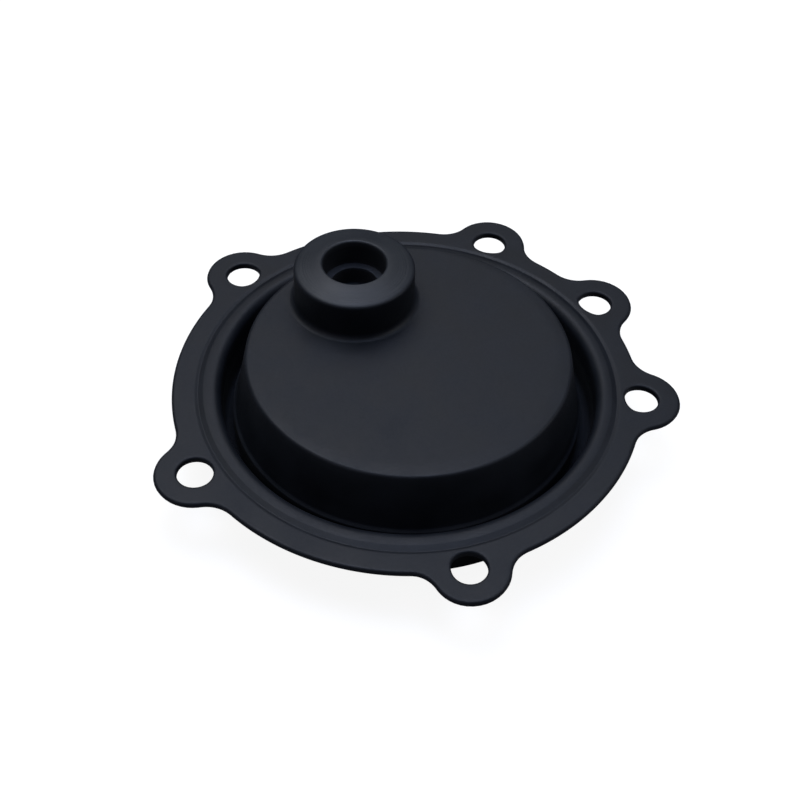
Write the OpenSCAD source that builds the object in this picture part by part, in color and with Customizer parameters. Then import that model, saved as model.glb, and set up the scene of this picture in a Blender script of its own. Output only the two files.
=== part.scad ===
// Convoluted diaphragm seal with six bolt ears and an offset stem boss.
// One rubber moulding. Millimetres, +Z up. The origin is on the flange's
// underside, at the centre of the bolt circle. The body rests on its roll.

/* [Bolting flange] */
// Diameter of the bolt circle
bolt_circle_d = 74; // [66:0.5:82]
// Diameter of each bolt hole
bolt_hole_d = 5.5; // [4:0.1:6.5]
// Distance from the bolt circle out to the flange's edge
edge_margin = 0.1; // [0:0.1:1.5]
// Width of the flat band from the flange's edge in to the crease
band_w = 3.5; // [2.8:0.1:4.5]
// Thickness of the flange
flange_t = 1.2; // [0.9:0.1:2]
// Radius of each ear around its bolt hole
ear_r = 6.2; // [5.5:0.1:7.5]
// Fillet between an ear and the flange
ear_fillet_r = 4.9; // [2:0.1:6]

/* [Crown] */
// Height of the flat top above the flange
crown_rise = 6.3; // [4:0.1:9]
// Slope of the crown's side from the vertical, in degrees
crown_slope = 12; // [4:0.5:16]
// Thickness of the flat top
crown_t = 2; // [1.5:0.1:2.6]
// Rounding of the edge of the flat top
crown_edge_r = 0.6; // [0.3:0.05:0.8]
// Rounding inside, under the edge of the flat top
crown_inner_r = 1.2; // [0.5:0.1:2]

/* [Roll] */
// Width of the groove over the roll
groove_w = 2.1; // [1.6:0.1:2.8]
// Thickness of the rubber round the roll
roll_t = 1.5; // [1:0.1:2]
// Depth of the roll below the flange's underside
roll_drop = 8.6; // [6.5:0.1:11]
// Width of the ledge where the crown's side meets the roll
ledge_w = 0.35; // [0.2:0.05:1]
// Depth of the ledge below the flange's underside
ledge_drop = 2.1; // [1:0.1:3]
// Fillet between the roll and the flange's underside
roll_fillet_r = 1.2; // [0.5:0.1:2]

/* [Sealing bead] */
// Radius of the bead's round top
bead_r = 1.4; // [1.1:0.05:1.5]
// Height of the bead above the flange
bead_rise = 0.3; // [0.1:0.05:0.6]
// Width of the crease outside the bead
crease_w = 1.4; // [1:0.1:2.4]
// Depth of the crease
crease_depth = 0.25; // [0.15:0.05:0.5]

/* [Stem boss] */
// Diameter of the boss
boss_d = 19.2; // [17:0.1:20]
// Height of the boss above the flat top
boss_h = 7.5; // [6:0.1:10]
// How far the boss's top falls from its socket out to its edge
boss_fall = 0.75; // [0.05:0.05:1.2]
// Distance from the boss to the edge of the flat top
boss_gap = 0.1; // [0.1:0.1:4]
// Direction of the boss, from the line through the first ear
boss_angle = 94; // [80:1:110]
// Rounding of the boss's top edge
boss_edge_r = 0.6; // [0.3:0.1:1.4]
// Fillet at the foot of the boss
boss_fillet_r = 1.3; // [0.8:0.1:2.5]

/* [Stem socket] */
// Diameter of the socket
socket_d = 10; // [8:0.1:11]
// Depth of the socket
socket_depth = 4.5; // [3:0.1:5.5]
// Diameter of the relief under the socket
relief_d = 7.6; // [5:0.1:7.8]
// Thickness of rubber left under the relief
relief_floor = 1.8; // [1.5:0.1:3]
// Rounding of the socket's mouth
mouth_r = 0.4; // [0.2:0.05:0.8]

/* [Hidden] */

$fn = 96;
// Overlap of solids that are joined, and the reach of cuts past a face
over = 0.5;

// The ears sit on a pitch of 72 degrees, with one more midway between two of them
ear_pitch = 72;
ear_angles = [0, ear_pitch / 2, ear_pitch * 1.5, ear_pitch * 2.5, -ear_pitch * 1.5, -ear_pitch / 2];
bolt_circle_r = bolt_circle_d / 2;

// From here on the radii follow each other inward, from the bolt circle to the boss
flange_r = bolt_circle_r + edge_margin;
band_mid_r = flange_r - band_w / 2;
// The crease is an arc of this radius, deepest near the foot of the bead
crease_r = (pow(crease_w / 2, 2) + pow(crease_depth, 2)) / (2 * crease_depth);
crease_mid_r = flange_r - band_w - crease_w / 2;
bead_mid_r = crease_mid_r - crease_w / 4 - bead_r;
bead_mid_z = flange_t + bead_rise - bead_r;

// The roll is a half ring round a point in the middle of the groove
groove_r = groove_w / 2;
roll_r = groove_r + roll_t;
groove_outer_r = bead_mid_r - bead_r;
groove_inner_r = groove_outer_r - groove_w;
roll_mid_r = groove_outer_r - groove_r;
roll_mid_z = roll_r - roll_drop;
cavity_r = groove_inner_r - roll_t;

// The crown's radius is that of its sharp edge, the flat's is where the edge's rounding begins
crown_z = flange_t + crown_rise;
skirt_foot_r = groove_inner_r - ledge_w;
crown_r = skirt_foot_r - (crown_z + ledge_drop) * tan(crown_slope);
flat_r = crown_r - crown_edge_r * tan(45 - crown_slope / 2);

boss_r = boss_d / 2;
boss_z = crown_z + boss_h;
boss_offset = flat_r - boss_gap - boss_r;

function polar(r, a) = [r * cos(a), r * sin(a)];

// A slice of a disc of radius r round c, from angle a to angle b
module slice(c, r, a, b) {
    middle = (a + b) / 2;
    translate(c)
        intersection() {
            circle(r);
            polygon([[0, 0], polar(3 * r, a), polar(3 * r, middle), polar(3 * r, b)]);
        }
}

// Fills the square corner whose arc of radius r has its middle at c, towards direction d
module corner_fill(c, r, d) {
    translate(c)
        difference() {
            polygon([[0, 0], [d[0] * r, 0], [d[0] * r, d[1] * r], [0, d[1] * r]]);
            circle(r);
        }
}

// Section of the flat top and its sloping side, down to the middle of the roll
module crown_section() {
    edge_mid = [flat_r, crown_z - crown_edge_r];
    polygon([
        [0, roll_mid_z], [0, crown_z], [flat_r, crown_z], edge_mid,
        edge_mid + polar(crown_edge_r, crown_slope),
        [skirt_foot_r, -ledge_drop], [groove_inner_r, -ledge_drop], [groove_inner_r, roll_mid_z],
    ]);
    slice(edge_mid, crown_edge_r, crown_slope, 90);
}

// Section of the hollow under the crown
module hollow_section() {
    top_z = crown_z - crown_t;
    top_r = crown_r - roll_t;
    slope = atan2(cavity_r - top_r, top_z - roll_mid_z);
    edge_mid = [top_r - crown_inner_r * tan(45 - slope / 2), top_z - crown_inner_r];
    polygon([
        [0, roll_mid_z], [0, top_z], [edge_mid[0], top_z], edge_mid,
        edge_mid + polar(crown_inner_r, slope), [cavity_r, roll_mid_z],
    ]);
    slice(edge_mid, crown_inner_r, slope, 90);
}

// Section of the roll, with its outer leg up to the bead
module roll_section() {
    translate([roll_mid_r, roll_mid_z])
        difference() {
            slice([0, 0], roll_r, 180, 360);
            circle(groove_r);
        }
    translate([groove_outer_r, roll_mid_z]) square([roll_t, bead_mid_z - roll_mid_z]);
    corner_fill([groove_outer_r + roll_t + roll_fillet_r, -roll_fillet_r], roll_fillet_r, [-1, 1]);
}

// Section of the bead and of the flange, as far as the flange is round
module flange_section() {
    difference() {
        union() {
            slice([bead_mid_r, bead_mid_z], bead_r, 0, 180);
            translate([groove_outer_r, 0]) square([2 * bead_r, bead_mid_z]);
            translate([bead_mid_r, 0]) square([band_mid_r + over - bead_mid_r, flange_t]);
        }
        translate([crease_mid_r, flange_t - crease_depth + crease_r]) circle(crease_r);
    }
}

module body() {
    rotate_extrude() {
        difference() {
            crown_section();
            hollow_section();
        }
        roll_section();
        flange_section();
    }
}

// Outline of one ear, with a fillet on each side down to the flange
module ear_outline() {
    reach = flange_r + ear_fillet_r;
    span = ear_r + ear_fillet_r;
    // Where the fillet's middle lies, seen from the flange's middle
    turn = acos((pow(reach, 2) + pow(bolt_circle_r, 2) - pow(span, 2)) / (2 * reach * bolt_circle_r));
    translate([bolt_circle_r, 0]) circle(ear_r);
    for (side = [-1, 1])
        difference() {
            polygon([[0, 0], [bolt_circle_r, 0], polar(reach, side * turn)]);
            translate(polar(reach, side * turn)) circle(ear_fillet_r);
        }
}

// The flange's rim with its ears
module rim() {
    linear_extrude(flange_t)
        difference() {
            union() {
                circle(flange_r);
                for (a = ear_angles) rotate(a) ear_outline();
            }
            circle(band_mid_r);
        }
}

module bolt_holes() {
    for (a = ear_angles)
        rotate(a)
            translate([bolt_circle_r, 0, -over])
                cylinder(h = flange_t + 2 * over, d = bolt_hole_d);
}

// Puts what is drawn round the origin where the boss stands
module at_boss() {
    rotate(boss_angle) translate([boss_offset, 0]) children();
}

// The boss before its socket, sunk a little into the flat top
module boss() {
    top_r = socket_d / 2 + mouth_r;
    fall = atan2(boss_fall, boss_r - top_r);
    edge_mid = [boss_r - boss_edge_r, boss_z - boss_fall - boss_edge_r * tan(45 - fall / 2)];
    rotate_extrude() {
        polygon([
            [0, crown_z - over], [boss_r, crown_z - over], [boss_r, edge_mid[1]], edge_mid,
            edge_mid + polar(boss_edge_r, 90 - fall), [top_r, boss_z], [0, boss_z],
        ]);
        slice(edge_mid, boss_edge_r, 0, 90 - fall);
    }
}

// The fillet at the boss's foot, on a disc sunk as far as the boss
module boss_foot() {
    foot_r = boss_r + boss_fillet_r;
    rotate_extrude() {
        corner_fill([foot_r, crown_z + boss_fillet_r], boss_fillet_r, [-1, -1]);
        translate([0, crown_z - over]) square([foot_r, over]);
    }
}

// The stepped blind hole in the boss
module socket() {
    relief_z = crown_z - crown_t + relief_floor;
    rotate_extrude() {
        translate([0, boss_z - socket_depth]) square([socket_d / 2, socket_depth + over]);
        translate([0, relief_z]) square([relief_d / 2, boss_z - socket_depth - relief_z]);
        corner_fill([socket_d / 2 + mouth_r, boss_z - mouth_r], mouth_r, [-1, 1]);
    }
}

module diaphragm() {
    color("#2b2d33")
        difference() {
            union() {
                body();
                rim();
                at_boss() boss();
                // The foot ends where the flat top does
                intersection() {
                    at_boss() boss_foot();
                    cylinder(h = boss_z, r = flat_r);
                }
            }
            bolt_holes();
            at_boss() socket();
        }
}

diaphragm();
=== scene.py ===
"""Scene for the convoluted diaphragm seal: one black rubber moulding on a white floor."""
import math
import bmesh
import bpy
import numpy as np
from mathutils import Matrix, Vector


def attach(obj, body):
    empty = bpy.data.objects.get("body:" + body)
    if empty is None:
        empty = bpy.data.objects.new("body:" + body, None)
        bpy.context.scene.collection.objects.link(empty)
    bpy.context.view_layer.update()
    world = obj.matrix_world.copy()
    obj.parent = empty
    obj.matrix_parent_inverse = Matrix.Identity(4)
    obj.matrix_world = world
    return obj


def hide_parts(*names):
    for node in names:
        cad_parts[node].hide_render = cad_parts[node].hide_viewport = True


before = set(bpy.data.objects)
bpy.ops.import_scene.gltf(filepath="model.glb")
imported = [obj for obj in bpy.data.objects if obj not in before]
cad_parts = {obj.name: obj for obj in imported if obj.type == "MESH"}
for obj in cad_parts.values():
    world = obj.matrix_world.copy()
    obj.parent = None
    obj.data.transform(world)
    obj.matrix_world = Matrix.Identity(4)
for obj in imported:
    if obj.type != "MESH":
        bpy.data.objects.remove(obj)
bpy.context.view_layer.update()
scene = bpy.context.scene
MM = 0.001
TAU = 2 * math.pi

# Sizes in millimetres, as in the solid, but the fall and the edge of the boss's top differ a little
BOLT_R, HOLE_R, EAR_R, EAR_FILLET = 37.0, 2.75, 6.2, 4.9
FLANGE_R, FLANGE_T = 37.1, 1.2
EARS = [math.radians(a) for a in (0, 36, 108, 180, 252, 324)]
CROWN_Z, CROWN_SLOPE, CROWN_R, CROWN_EDGE = 7.5, math.radians(12), 25.2595, 0.6
FLAT_R = CROWN_R - CROWN_EDGE * math.tan(math.radians(45) - CROWN_SLOPE / 2)
GROOVE_IN, GROOVE_OUT, ROLL_T, ROLL_DROP = 27.65, 29.75, 1.5, 8.6
LEDGE_IN, LEDGE_Z = 27.3, -2.1
BEAD_R, BEAD_MID, BEAD_RISE = 1.4, 31.15, 0.3
CREASE_DEEP, CREASE_MID = 0.25, 32.9
BOSS_R, BOSS_Z, BOSS_FALL, BOSS_EDGE, BOSS_FILLET = 9.6, 15.0, 1.0, 0.5, 1.3
BOSS_ANGLE, BOSS_OFF = math.radians(94), 15.0736
SOCKET_R, STEP_Z, RELIEF_R, RELIEF_Z, MOUTH_R = 5.0, 10.5, 3.8, 7.3, 0.4
INNER_TOP, INNER_EDGE, ROLL_FILLET = 5.5, 1.2, 1.2
ROLL_MID_R = (GROOVE_IN + GROOVE_OUT) / 2
ROLL_R = (GROOVE_OUT - GROOVE_IN) / 2 + ROLL_T
ROLL_MID_Z = ROLL_R - ROLL_DROP
# Small roundings that every moulded edge has
EDGE, LOW_EDGE = 0.5, 0.7
HOLE_EDGE = 0.35
# The skin lies this little inside the solid, whose own mesh has slightly flattened curves
WITHIN = 0.02

# How the skin's section differs from the solid's: the ledge slopes, the bead's crest runs out nearly
# level, and the crease is a shallow V that is steeper on its far side
LEDGE_LAP, LEDGE_RISE, LEDGE_FALL = 0.1, 0.12, 0.28
CREST_W, CREST_FALL = 1.0, 0.06
CREASE_SHIFT, CREASE_FILL, CREASE_FAR, BAND_GAP = 0.05, 0.05, 0.5, 0.8
CROWN_SOFT, RIM_SOFT = 0.09, 0.10
# A row of the mesh follows after this much turn of the section, or this length of it
MOST_TURN, LONGEST = math.radians(11), 1.1
# Radii of the innermost rows, which are closed to a point
SOCKET_CAP, HOLLOW_CAP = 0.4, 0.5


def bearing(angle, middle):
    """Signed angle from a direction, at most half a turn either way."""
    return (angle - middle + math.pi) % TAU - math.pi


# Columns of the mesh round the part, closer together at the sides of each ear
COLS = 400
EVEN = np.arange(COLS) * TAU / COLS
EAR_REACH, EAR_DRAW = math.radians(18), math.radians(1.4)
THETA = EVEN.copy()
for ear in EARS:
    off_ear = bearing(EVEN, ear)
    THETA += EAR_DRAW * np.sin(TAU * off_ear / EAR_REACH) * (np.abs(off_ear) < EAR_REACH)


def arc(cx, cz, r, a0, a1, step=6.0):
    """Points of an arc in a section, angles in degrees."""
    n = max(2, int(abs(a1 - a0) / step) + 1)
    t = np.radians(np.linspace(a0, a1, n))
    return [(cx + r * math.cos(a), cz + r * math.sin(a)) for a in t]


def soften(points, width=0.07, fine=0.02):
    """Rounds the corners of a section a little and thins its points where it runs straight."""
    p = np.array(points, float)
    seg = np.hypot(*np.diff(p, axis=0).T)
    keep = np.concatenate([[True], seg > 1e-9])
    p = p[keep]
    s = np.concatenate([[0], np.cumsum(np.hypot(*np.diff(p, axis=0).T))])
    n = int(s[-1] / fine) + 1
    u = np.linspace(0, s[-1], n)
    q = np.stack([np.interp(u, s, p[:, 0]), np.interp(u, s, p[:, 1])], 1)
    reach = int(3 * width / fine) + 1
    k = np.arange(-reach, reach + 1) * fine
    w = np.exp(-0.5 * (k / width) ** 2)
    w /= w.sum()
    pad = np.concatenate([2 * q[0] - q[reach:0:-1], q, 2 * q[-1] - q[-2:-reach - 2:-1]])
    q = np.stack([np.convolve(pad[:, i], w, "valid") for i in (0, 1)], 1)
    q[0], q[-1] = p[0], p[-1]
    d = np.diff(q, axis=0)
    a = np.unwrap(np.arctan2(d[:, 1], d[:, 0]))
    out, turned, run = [q[0]], 0.0, 0.0
    for i in range(1, len(q) - 1):
        turned += abs(a[i] - a[i - 1])
        run += fine
        if turned > MOST_TURN or run > LONGEST:
            out.append(q[i])
            turned = run = 0.0
    out.append(q[-1])
    return np.array(out)


# Section of the upper side, from the edge of the flat top out to the flat band
crest_z = FLANGE_T + BEAD_RISE
bead_z = crest_z - BEAD_R
BAND_IN = CREASE_MID + BAND_GAP
crown_side = arc(FLAT_R, CROWN_Z - CROWN_EDGE, CROWN_EDGE, 90, math.degrees(CROWN_SLOPE))
crown_side += [(LEDGE_IN - LEDGE_LAP, LEDGE_Z + LEDGE_RISE), (GROOVE_IN, LEDGE_Z - LEDGE_FALL)]
crown_side += [(GROOVE_IN, ROLL_MID_Z)]
crown_side += arc(ROLL_MID_R, ROLL_MID_Z, ROLL_R - ROLL_T, 180, 360)
rim = [(GROOVE_OUT, ROLL_MID_Z)] + arc(BEAD_MID, bead_z, BEAD_R, 180, 90)
rim += [(BEAD_MID + CREST_W, crest_z - CREST_FALL)]
rim += [(CREASE_MID + CREASE_SHIFT, FLANGE_T - CREASE_DEEP + CREASE_FILL)]
rim += [(CREASE_MID + CREASE_FAR, FLANGE_T), (BAND_IN, FLANGE_T)]
upper = np.concatenate([soften(crown_side, CROWN_SOFT), soften(rim, RIM_SOFT)[1:]])

# Section of the underside, from the flat band in to the middle of the hollow
wall_slope = math.atan2(GROOVE_IN - CROWN_R, INNER_TOP - ROLL_MID_Z)
inner_r = CROWN_R - ROLL_T - INNER_EDGE * math.tan(math.radians(45) - wall_slope / 2)
roll_out = GROOVE_OUT + ROLL_T
lower = [(BAND_IN, 0), (roll_out + ROLL_FILLET, 0)]
lower += arc(roll_out + ROLL_FILLET, -ROLL_FILLET, ROLL_FILLET, 90, 180)
lower += arc(ROLL_MID_R, ROLL_MID_Z, ROLL_R - WITHIN, 0, -180)
lower += arc(inner_r, INNER_TOP - INNER_EDGE, INNER_EDGE, math.degrees(wall_slope), 90)
lower += [(HOLLOW_CAP, INNER_TOP)]
lower = soften(lower)


def outline(theta, inset):
    """Distance from the axis to the flange's edge, pulled in by inset, at each angle."""
    fr, er, fl = FLANGE_R - inset, EAR_R - inset, EAR_FILLET + inset
    reach, span = fr + fl, er + fl
    turn = math.acos((reach**2 + BOLT_R**2 - span**2) / (2 * reach * BOLT_R))
    fx, fy = reach * math.cos(turn), reach * math.sin(turn)
    tx, ty = BOLT_R + er * (fx - BOLT_R) / span, er * fy / span
    touch = math.atan2(ty, tx)
    out = np.full(len(theta), fr)
    for a in EARS:
        d = np.abs(bearing(theta, a))
        ear = d <= touch
        out[ear] = BOLT_R * np.cos(d[ear]) + np.sqrt(er**2 - (BOLT_R * np.sin(d[ear])) ** 2)
        web = (d > touch) & (d < turn)
        t = turn - d[web]
        out[web] = reach * np.cos(t) - np.sqrt(fl**2 - (reach * np.sin(t)) ** 2)
    return out


class Skin:
    """Collects points and faces."""

    def __init__(self):
        self.points, self.faces, self.count = [], [], 0

    def add(self, xyz):
        xyz = np.asarray(xyz, float)
        self.points.append(xyz)
        first = self.count
        self.count += len(xyz)
        return np.arange(first, self.count)

    def strip(self, a, b, columns=None):
        """Quads between two closed rows of points, or only for some columns."""
        n = len(a)
        c = np.arange(n) if columns is None else columns
        d = (c + 1) % n
        self.faces.append(np.stack([a[c], a[d], b[d], b[c]], 1))


skin = Skin()
boss_mid = np.array([BOSS_OFF * math.cos(BOSS_ANGLE), BOSS_OFF * math.sin(BOSS_ANGLE)])
flat_edge = np.stack([FLAT_R * np.cos(THETA), FLAT_R * np.sin(THETA)], 1)
ray = flat_edge - boss_mid
PHI = np.arctan2(ray[:, 1], ray[:, 0])
room = np.hypot(*ray.T) - BOSS_R
# The foot's fillet narrows smoothly where the boss stands close to the edge of the flat top, and it is
# a little smaller than the solid's all round
FOOT_BLEND, FOOT_LEAST, FOOT_SHARE, FOOT_GAP, LEAST_GAP = 0.35, 0.05, 0.8, 0.03, 0.02
short = (BOSS_FILLET - (room - FOOT_GAP)) / FOOT_BLEND
foot = np.clip(BOSS_FILLET - FOOT_BLEND * np.log1p(np.exp(short)), FOOT_LEAST, BOSS_FILLET)
foot = FOOT_SHARE * np.minimum(foot, room - LEAST_GAP)


def boss_ring(r, z):
    r, z = np.broadcast_to(r, COLS), np.broadcast_to(z, COLS)
    return skin.add(np.stack([boss_mid[0] + r * np.cos(PHI), boss_mid[1] + r * np.sin(PHI), z], 1))


def axis_ring(r, z):
    r, z = np.broadcast_to(r, COLS), np.broadcast_to(z, COLS)
    return skin.add(np.stack([r * np.cos(THETA), r * np.sin(THETA), z], 1))


# Section of the boss from the floor of its relief up and over to its side
RELIEF_EDGE = 0.3
boss = [(SOCKET_CAP, RELIEF_Z), (RELIEF_R - RELIEF_EDGE, RELIEF_Z)]
boss += arc(RELIEF_R - RELIEF_EDGE, RELIEF_Z + RELIEF_EDGE, RELIEF_EDGE, -90, 0, 15)
boss += [(RELIEF_R, STEP_Z), (SOCKET_R, STEP_Z)]
boss += [(SOCKET_R, BOSS_Z - MOUTH_R)] + arc(SOCKET_R + MOUTH_R, BOSS_Z - MOUTH_R, MOUTH_R, 180, 90, 10)
fall = math.atan2(BOSS_FALL, BOSS_R - SOCKET_R - MOUTH_R)
side_top = BOSS_Z - BOSS_FALL - BOSS_EDGE * math.tan(math.radians(45) - fall / 2)
boss += arc(BOSS_R - BOSS_EDGE, side_top, BOSS_EDGE, 90 - math.degrees(fall), 0)
boss = soften(boss)
rows = [boss_ring(r, z) for r, z in boss]
for t in np.linspace(0, 1, 7)[1:]:
    rows.append(boss_ring(BOSS_R, side_top + t * (CROWN_Z + foot - side_top)))
for t in np.radians(np.arange(9, 91, 9)):
    rows.append(boss_ring(BOSS_R + foot * (1 - math.cos(t)), CROWN_Z + foot * (1 - math.sin(t))))
foot_edge = boss_mid + np.stack([(BOSS_R + foot) * np.cos(PHI), (BOSS_R + foot) * np.sin(PHI)], 1)
for t in np.linspace(0, 1, 11)[1:-1]:
    xy = foot_edge + t * (flat_edge - foot_edge)
    rows.append(skin.add(np.column_stack([xy, np.full(COLS, CROWN_Z)])))
rows += [axis_ring(r, z) for r, z in upper]
for a, b in zip(rows, rows[1:]):
    skin.strip(a, b)
middle = skin.add([[*boss_mid, RELIEF_Z]])[0]
nxt = np.roll(rows[0], -1)
caps = [np.stack([rows[0], np.full(COLS, middle), nxt], 1)[:, ::-1]]

# The flat band and the ears, above and below, with the bolt holes let into them. The numbers are rows
# across the band, rows round each hole, and columns to each side of a hole's middle
LEVELS, HOLE_ROWS, SPAN = 12, 6, 8
ear_cols = [(round(a / TAU * COLS) + np.arange(-SPAN, SPAN + 1)) % COLS for a in EARS]
plain = np.setdiff1d(np.arange(COLS), np.concatenate([c[:-1] for c in ear_cols]))


def band(start, z, flip, edge):
    """The flat band from its inner row out to the edge's rounding.

    Returns the outer row and the rows at the holes.
    """
    rim = outline(THETA, edge)
    grid = [start]
    for t in np.linspace(0, 1, LEVELS + 1)[1:]:
        grid.append(axis_ring(BAND_IN + t * (rim - BAND_IN), z))
    for a, b in zip(grid, grid[1:]):
        skin.strip(*((b, a) if flip else (a, b)), plain)
    points = np.concatenate(skin.points)
    holes = []
    for a, cols in zip(EARS, ear_cols):
        loop = [grid[0][c] for c in cols]
        loop += [g[cols[-1]] for g in grid[1:-1]]
        loop += [grid[-1][c] for c in cols[::-1]]
        loop += [g[cols[0]] for g in grid[-2:0:-1]]
        loop = np.array(loop)
        mid = np.array([BOLT_R * math.cos(a), BOLT_R * math.sin(a)])
        out = points[loop][:, :2] - mid
        ang = np.arctan2(out[:, 1], out[:, 0])
        hole = mid + (HOLE_R + HOLE_EDGE) * np.stack([np.cos(ang), np.sin(ang)], 1)
        last = loop
        for t in np.linspace(0, 1, HOLE_ROWS + 1)[1:]:
            xy = points[loop][:, :2] * (1 - t) + hole * t
            row = skin.add(np.column_stack([xy, np.full(len(loop), z)]))
            skin.strip(*((last, row) if flip else (row, last)))
            last = row
        holes.append((mid, ang, last))
    return grid[-1], holes


top_rim, top_holes = band(rows[-1], FLANGE_T, False, EDGE)
low_rows = [axis_ring(r, z) for r, z in lower]
low_rim, low_holes = band(low_rows[0], 0.0, True, LOW_EDGE)
for a, b in zip(low_rows, low_rows[1:]):
    skin.strip(a, b)
middle = skin.add([[0, 0, INNER_TOP]])[0]
caps.append(np.stack([low_rows[-1], np.full(COLS, middle), np.roll(low_rows[-1], -1)], 1)[:, ::-1])

# The flange's side, with the thin line of flash that the mould's parting leaves
side_rows = [top_rim]
SWEEP = np.radians((15, 30, 45, 60, 75, 90))
SIDE_IN, FLASH = 0.06, 0.02
PARTING = FLANGE_T - EDGE - FLASH
steps = [(SIDE_IN + (EDGE - SIDE_IN) * (1 - math.sin(t)), FLANGE_T - EDGE * (1 - math.cos(t))) for t in SWEEP]
steps += [(WITHIN, PARTING + FLASH / 2), (WITHIN, PARTING - FLASH / 2)]
for t in SWEEP[::-1]:
    inset = SIDE_IN + (LOW_EDGE - SIDE_IN) * (1 - math.sin(t))
    steps.append((inset, (PARTING - FLASH) * (1 - math.cos(t))))
for inset, z in steps:
    side_rows.append(axis_ring(outline(THETA, inset), z))
side_rows.append(low_rim)
for a, b in zip(side_rows, side_rows[1:]):
    skin.strip(a, b)

# The walls of the bolt holes
for (mid, ang, top), (_, _, low) in zip(top_holes, low_holes):
    last = top
    around = []
    for t in np.radians((22, 45, 68, 90)):
        around.append((HOLE_EDGE * (1 - math.sin(t)), FLANGE_T - HOLE_EDGE * (1 - math.cos(t))))
    around += [(0, FLANGE_T * 2 / 3), (0, FLANGE_T / 3)] + [(d, FLANGE_T - z) for d, z in around[::-1]]
    for grow, z in around:
        r = HOLE_R + grow
        ring = [mid[0] + r * np.cos(ang), mid[1] + r * np.sin(ang), np.full(len(ang), z)]
        row = skin.add(np.column_stack(ring))
        skin.strip(row, last)
        last = row
    skin.strip(low, last)

points = np.concatenate(skin.points)
quads = np.concatenate(skin.faces)
tris = np.concatenate(caps)
# The flange follows the moulding in the photograph, which doesn't lie quite flat or round, so the
# skin's bolt holes stand up to 0.55 mm from the solid's. Amounts in millimetres
LIFT, TILT, TILT_TO, WAVE, WAVE_TO = 0.05, 0.4, math.radians(36), 0.2, math.radians(234)
PULL, PULL_AT, PULL_W = 1.4, math.radians(232), 0.2
SLIDE, SLIDE_WAVE, SLIDE_TO = 0.15, 0.2, math.radians(20)
DRAW, DRAW_WAVE, DRAW_TO = 0.21, 0.22, math.radians(25)
# Where the lift sets in, outward and upward, and where the rest of the warp does
HANG_OVER, HANG_RISE, FAR_FROM, FAR_OVER = 0.5, 5, 33.7, 2.5
# A point above this height is on the upper side
UPPER_Z = 0.5
rad = np.hypot(points[:, 0], points[:, 1])
turn = np.arctan2(points[:, 1], points[:, 0])
upper_side = points[:, 2] > UPPER_Z
hung = np.clip((rad - ROLL_MID_R) / HANG_OVER, 0, 1)
hung = hung * np.clip((points[:, 2] - ROLL_MID_Z) / HANG_RISE, 0, 1)
points[:, 2] += hung * (LIFT + TILT * np.cos(turn - TILT_TO) + WAVE * np.cos(2 * turn - WAVE_TO))
far = np.clip((rad - FAR_FROM) / FAR_OVER, 0, 1)
far = far * far * (3 - 2 * far)
pulled = PULL * np.exp(-((bearing(turn, PULL_AT) / PULL_W) ** 2))
# The radius is held at 1 or more here, so that the middle point isn't divided by nothing
turn += far / np.maximum(rad, 1) * (pulled - SLIDE - SLIDE_WAVE * np.cos(turn - SLIDE_TO))
rad -= far * (DRAW + DRAW_WAVE * np.cos(turn - DRAW_TO))
# The crease lies a little further out at the front, and the bead a little further in at the left
CREASE_OUT, CREASE_AT, CREASE_NEAR = 0.3, math.radians(240), 0.9
BEAD_IN, BEAD_AT, BEAD_OVER, BEAD_END, BEAD_FADE = 0.4, math.radians(150), 1.0, 32.3, 1.5
SHIFT_W = 0.6
front, left = bearing(turn, CREASE_AT), bearing(turn, BEAD_AT)
near_crease = np.exp(-((front / SHIFT_W) ** 2) - ((rad - CREASE_MID) / CREASE_NEAR) ** 2)
rad += CREASE_OUT * near_crease * upper_side
near_bead = np.clip((rad - ROLL_MID_R) / BEAD_OVER, 0, 1) * np.clip((BEAD_END - rad) / BEAD_FADE, 0, 1)
rad -= BEAD_IN * np.exp(-((left / SHIFT_W) ** 2)) * near_bead
points[:, 0], points[:, 1] = rad * np.cos(turn), rad * np.sin(turn)

mesh = bpy.data.meshes.new("diaphragm_skin")
mesh.from_pydata((points * MM).tolist(), [], quads.tolist() + tris.tolist())
bm = bmesh.new()
bm.from_mesh(mesh)
bmesh.ops.recalc_face_normals(bm, faces=bm.faces)
bm.to_mesh(mesh)
bm.free()
mesh.polygons.foreach_set("use_smooth", [True] * len(mesh.polygons))
mesh.update()
part = bpy.data.objects.new("diaphragm_skin", mesh)
scene.collection.objects.link(part)
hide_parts("diaphragm")
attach(part, "root")


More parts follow.
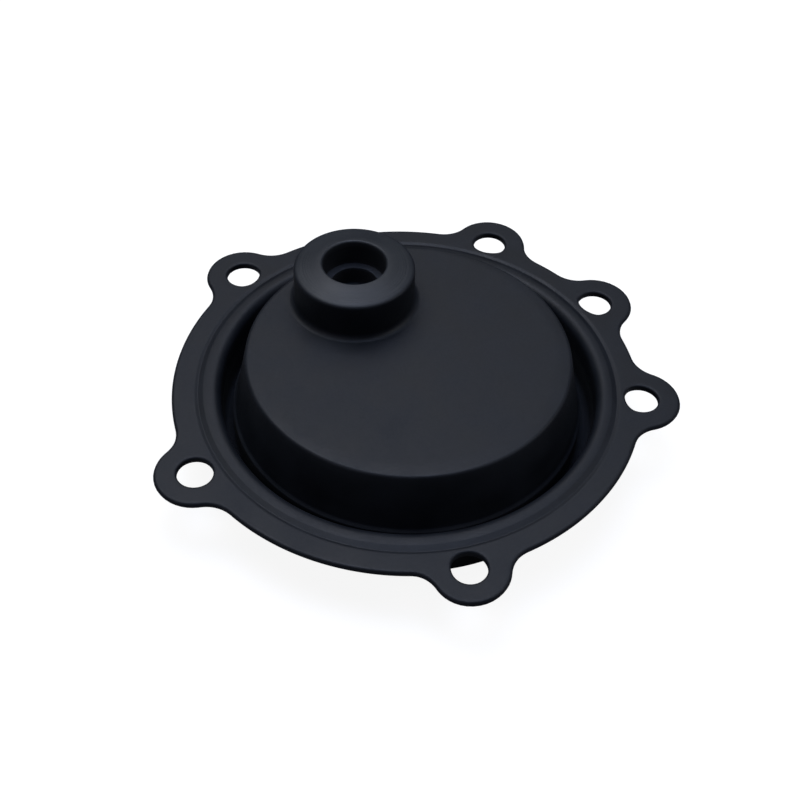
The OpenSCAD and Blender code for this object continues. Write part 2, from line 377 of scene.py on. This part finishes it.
class Nodes:
    """A short way to build a material's nodes."""

    def __init__(self, tree):
        self.tree = tree
        self.tree.nodes.clear()

    def add(self, kind, **values):
        n = self.tree.nodes.new(kind)
        for k, v in values.items():
            setattr(n, k, v)
        return n

    def link(self, a, b):
        self.tree.links.new(a, b)

    def put(self, value, socket):
        if isinstance(value, bpy.types.NodeSocket):
            self.link(value, socket)
        else:
            socket.default_value = value

    def math(self, op, a, b):
        n = self.add("ShaderNodeMath", operation=op)
        self.put(a, n.inputs[0])
        self.put(b, n.inputs[1])
        return n.outputs[0]

    def noise(self, where, scale, detail=2.0, rough=0.5):
        n = self.add("ShaderNodeTexNoise")
        self.link(where, n.inputs["Vector"])
        n.inputs["Scale"].default_value = scale
        n.inputs["Detail"].default_value = detail
        n.inputs["Roughness"].default_value = rough
        return n.outputs["Fac"]

    def flat_distance(self, where, middle):
        """Distance from an upright axis."""
        away = self.add("ShaderNodeVectorMath", operation="SUBTRACT")
        self.link(where, away.inputs[0])
        away.inputs[1].default_value = middle
        level = self.add("ShaderNodeVectorMath", operation="MULTIPLY")
        self.link(away.outputs[0], level.inputs[0])
        level.inputs[1].default_value = (1, 1, 0)
        length = self.add("ShaderNodeVectorMath", operation="LENGTH")
        self.link(level.outputs[0], length.inputs[0])
        return length.outputs["Value"]

    def rise(self, value, lo, hi):
        """From 0 to 1 between two places in millimetres."""
        return self.remap(value, lo * MM, hi * MM, 0, 1)

    def drop(self, value, lo, hi):
        """From 1 to 0 between two places in millimetres."""
        return self.remap(value, lo * MM, hi * MM, 1, 0)

    def remap(self, value, lo, hi, to_lo, to_hi):
        n = self.add("ShaderNodeMapRange")
        self.link(value, n.inputs["Value"])
        for k, v in zip(("From Min", "From Max", "To Min", "To Max"), (lo, hi, to_lo, to_hi)):
            n.inputs[k].default_value = v
        return n.outputs["Result"]


# Where each finish sets in and where it is full, in millimetres: heights, and distances from an axis
TOP_Z, TOP_IN, TOP_OUT = (13.7, 14.1), (4.9, 5.2), (9.0, 9.4)
SOCKET_Z, SOCKET_OUT, STEP_OVER = (6.4, 6.9), (4.9, 5.2), (10.8, 11.2)
GROOVE_Z, GROOVE_FLOOR, GROOVE_FROM, GROOVE_TO = (-2.7, -2.1), (-7.8, -7.4), (27.2, 27.5), (29.9, 30.2)
# Colours of the rubber, of the boss's top and of the socket's floor, fitted to the photograph
DARK, LESS_DARK = (0.0050, 0.0065, 0.0095, 1), (0.0086, 0.0106, 0.0146, 1)
# The boss's top colour is a painted sheen, paler than the rubber to stand for light that its face reflects
TOP_SHEEN_COLOUR, SOCKET_COLOUR = (0.0225, 0.0252, 0.0290, 1), (0.032, 0.035, 0.042, 1)
# How fine each noise is
CLOUD, SPECK, GRAIN, RINGS = 140, 2600, 9000, 3200


def rubber():
    m = bpy.data.materials.new("black_rubber")
    m.use_nodes = True
    g = Nodes(m.node_tree)
    out = g.add("ShaderNodeOutputMaterial")
    skin_ = g.add("ShaderNodeBsdfPrincipled")
    g.link(skin_.outputs[0], out.inputs[0])
    where = g.add("ShaderNodeTexCoord").outputs["Object"]
    cloud = g.noise(where, CLOUD, 3)
    speck = g.noise(where, SPECK, 2)
    grain = g.noise(where, GRAIN, 3, 0.6)
    mix = g.add("ShaderNodeMix", data_type="RGBA")
    g.link(g.remap(cloud, 0.35, 0.65, 0.0, 1.0), mix.inputs["Factor"])
    mix.inputs["A"].default_value = DARK
    mix.inputs["B"].default_value = LESS_DARK
    # How far a point lies from the part's axis and from the boss's, and how high
    axis_r = g.flat_distance(where, (0, 0, 0))
    radius = g.flat_distance(where, (boss_mid[0] * MM, boss_mid[1] * MM, 0))
    split = g.add("ShaderNodeSeparateXYZ")
    g.link(where, split.inputs[0])
    height = split.outputs["Z"]
    # The boss's top is painted paler than the rest as a painted sheen, and has faint rings
    face = g.math("MULTIPLY", g.rise(height, *TOP_Z), g.rise(radius, *TOP_IN))
    face = g.math("MULTIPLY", face, g.drop(radius, *TOP_OUT))
    # The socket is matt, and the step and the floor in it are a little paler, most where they face up
    facing = g.add("ShaderNodeSeparateXYZ")
    g.link(g.add("ShaderNodeNewGeometry").outputs["Normal"], facing.inputs[0])
    level = g.remap(facing.outputs["Z"], 0.6, 0.95, 0, 1)
    inside = g.math("MULTIPLY", g.drop(radius, *SOCKET_OUT), g.rise(height, *SOCKET_Z))
    socket_paler = g.math("MULTIPLY", inside, g.drop(height, *STEP_OVER))
    socket_paler = g.math("MULTIPLY", socket_paler, g.math("ADD", g.math("MULTIPLY", level, 0.6), 0.4))
    # The groove is matt too
    groove = g.math("MULTIPLY", g.drop(height, *GROOVE_Z), g.rise(height, *GROOVE_FLOOR))
    groove = g.math("MULTIPLY", groove, g.rise(axis_r, *GROOVE_FROM))
    groove = g.math("MULTIPLY", groove, g.drop(axis_r, *GROOVE_TO))
    # The painted sheen is mixed in over the boss's top
    top_sheen = g.add("ShaderNodeMix", data_type="RGBA")
    g.link(g.math("MULTIPLY", face, g.remap(cloud, 0.3, 0.7, 0.8, 1.0)), top_sheen.inputs["Factor"])
    g.link(mix.outputs["Result"], top_sheen.inputs["A"])
    top_sheen.inputs["B"].default_value = TOP_SHEEN_COLOUR
    socket_mix = g.add("ShaderNodeMix", data_type="RGBA")
    g.link(g.math("MULTIPLY", socket_paler, g.remap(speck, 0.3, 0.7, 0.7, 1.0)), socket_mix.inputs["Factor"])
    g.link(top_sheen.outputs["Result"], socket_mix.inputs["A"])
    socket_mix.inputs["B"].default_value = SOCKET_COLOUR
    g.link(socket_mix.outputs["Result"], skin_.inputs["Base Color"])
    rough = g.math("ADD", g.remap(cloud, 0.3, 0.7, 0.46, 0.58), g.remap(speck, 0.3, 0.7, -0.03, 0.03))
    rough = g.math("SUBTRACT", rough, g.math("MULTIPLY", face, 0.1))
    rough = g.math("ADD", rough, g.math("MULTIPLY", g.math("MAXIMUM", groove, inside), 0.4))
    g.link(rough, skin_.inputs["Roughness"])
    skin_.inputs["Specular IOR Level"].default_value = 0.25
    turned = g.add("ShaderNodeTexNoise", noise_dimensions="1D")
    g.link(radius, turned.inputs["W"])
    turned.inputs["Scale"].default_value = RINGS
    turned.inputs["Detail"].default_value = 2
    rings = g.add("ShaderNodeBump")
    rings.inputs["Strength"].default_value = 0.3
    rings.inputs["Distance"].default_value = 0.00008
    g.link(g.math("MULTIPLY", turned.outputs["Fac"], face), rings.inputs["Height"])
    bump = g.add("ShaderNodeBump")
    bump.inputs["Strength"].default_value = 0.35
    bump.inputs["Distance"].default_value = 0.00003
    g.link(g.math("ADD", grain, g.math("MULTIPLY", speck, 0.6)), bump.inputs["Height"])
    g.link(rings.outputs[0], bump.inputs["Normal"])
    g.link(bump.outputs[0], skin_.inputs["Normal"])
    return m


mesh.materials.append(rubber())

# The floor keeps the part's shadow and shows white to the camera where it is lit. Light that bounces
# and reflections see only its grey, and the rubber's colour was fitted to the photograph that way
FLOOR_Z, FLOOR_GREY, FLOOR_GLOW = -ROLL_DROP * MM, 0.2, 0.9
floor_mesh = bpy.data.meshes.new("floor")
half = 3.0
corners = [(x * half, y * half, FLOOR_Z) for x, y in ((-1, -1), (1, -1), (1, 1), (-1, 1))]
floor_mesh.from_pydata(corners, [], [(0, 1, 2, 3)])
floor = bpy.data.objects.new("floor", floor_mesh)
scene.collection.objects.link(floor)
m = bpy.data.materials.new("floor_white")
m.use_nodes = True
g = Nodes(m.node_tree)
out = g.add("ShaderNodeOutputMaterial")
lit = g.add("ShaderNodeBsdfDiffuse")
lit.inputs["Color"].default_value = (FLOOR_GREY, FLOOR_GREY, FLOOR_GREY, 1)
glow = g.add("ShaderNodeEmission")
glow.inputs["Color"].default_value = (1, 1, 1, 1)
path = g.add("ShaderNodeLightPath")
seen = g.math("MAXIMUM", path.outputs["Is Camera Ray"], path.outputs["Is Transmission Ray"])
g.link(g.math("MULTIPLY", seen, FLOOR_GLOW), glow.inputs["Strength"])
both = g.add("ShaderNodeAddShader")
g.link(lit.outputs[0], both.inputs[0])
g.link(glow.outputs[0], both.inputs[1])
g.link(both.outputs[0], out.inputs[0])
floor_mesh.materials.append(m)

# The world is white to the camera alone, and its dim light is all that reflections see of it
DIM = 0.02
world = bpy.data.worlds.new("studio")
scene.world = world
world.use_nodes = True
g = Nodes(world.node_tree)
out = g.add("ShaderNodeOutputWorld")
back = g.add("ShaderNodeBackground")
path = g.add("ShaderNodeLightPath")
g.link(g.remap(path.outputs["Is Camera Ray"], 0, 1, DIM, 1.0), back.inputs["Strength"])
back.inputs["Color"].default_value = (1, 1, 1, 1)
g.link(back.outputs[0], out.inputs[0])


LAMP_OFF, LAMP_SIZE = 0.8, 0.45


def lamp(name, place, power, colour):
    """A square lamp that faces the origin."""
    data = bpy.data.lights.new(name, "AREA")
    data.shape = "RECTANGLE"
    data.size = data.size_y = LAMP_SIZE
    data.energy = power
    data.color = colour
    ob = bpy.data.objects.new(name, data)
    ob.location = place
    ob.rotation_euler = (-place).to_track_quat("-Z", "Y").to_euler()
    scene.collection.objects.link(ob)


# For each lamp its height in degrees, its direction in degrees to the right of the line of sight,
# its share of the light, and its colour, cooler from straight above
ahead = Vector((0.541, 0.841, 0))
across = Vector((0.841, -0.541, 0))
for name, height, turn_, share, colour in (
    ("above", 90, 0, 0.23, (0.46, 0.62, 1.0)), ("high_back", 74, 0, 0.35, (0.75, 0.81, 1.0)),
    ("back", 47, 0, 0.09, (1.0, 1.0, 0.95)), ("back_left", 60, -30, 0.11, (0.88, 0.85, 1.0)),
    ("left", 60, -60, 0.20, (0.96, 1.0, 0.95)), ("right", 40, 90, 0.19, (0.95, 0.96, 1.0)),
    ("front_left", 40, -135, 0.08, (0.92, 0.86, 1.0)),
):
    t, e = math.radians(turn_), math.radians(height)
    way = (ahead * math.cos(t) + across * math.sin(t)) * math.cos(e) + Vector((0, 0, math.sin(e)))
    lamp(name, way * LAMP_OFF, math.pi**2 * LAMP_OFF**2 * share, colour)

# The camera stands where the photograph was taken from
eye = Vector((-0.081799, -0.125155, 0.154783))
aim = Vector((-0.003232, -0.002969, 0.0012))
CAM_ROLL = math.radians(2.033)
cam_data = bpy.data.cameras.new("camera")
cam_data.sensor_width = 36
cam_data.lens = 61.05
cam_data.clip_start, cam_data.clip_end = 0.01, 20
cam = bpy.data.objects.new("camera", cam_data)
look = (aim - eye).to_track_quat("-Z", "Y").to_matrix().to_4x4()
cam.matrix_world = Matrix.Translation(eye) @ look @ Matrix.Rotation(CAM_ROLL, 4, "Z")
scene.collection.objects.link(cam)
scene.camera = cam

scene.view_settings.view_transform = "Standard"

bpy.context.view_layer.update()
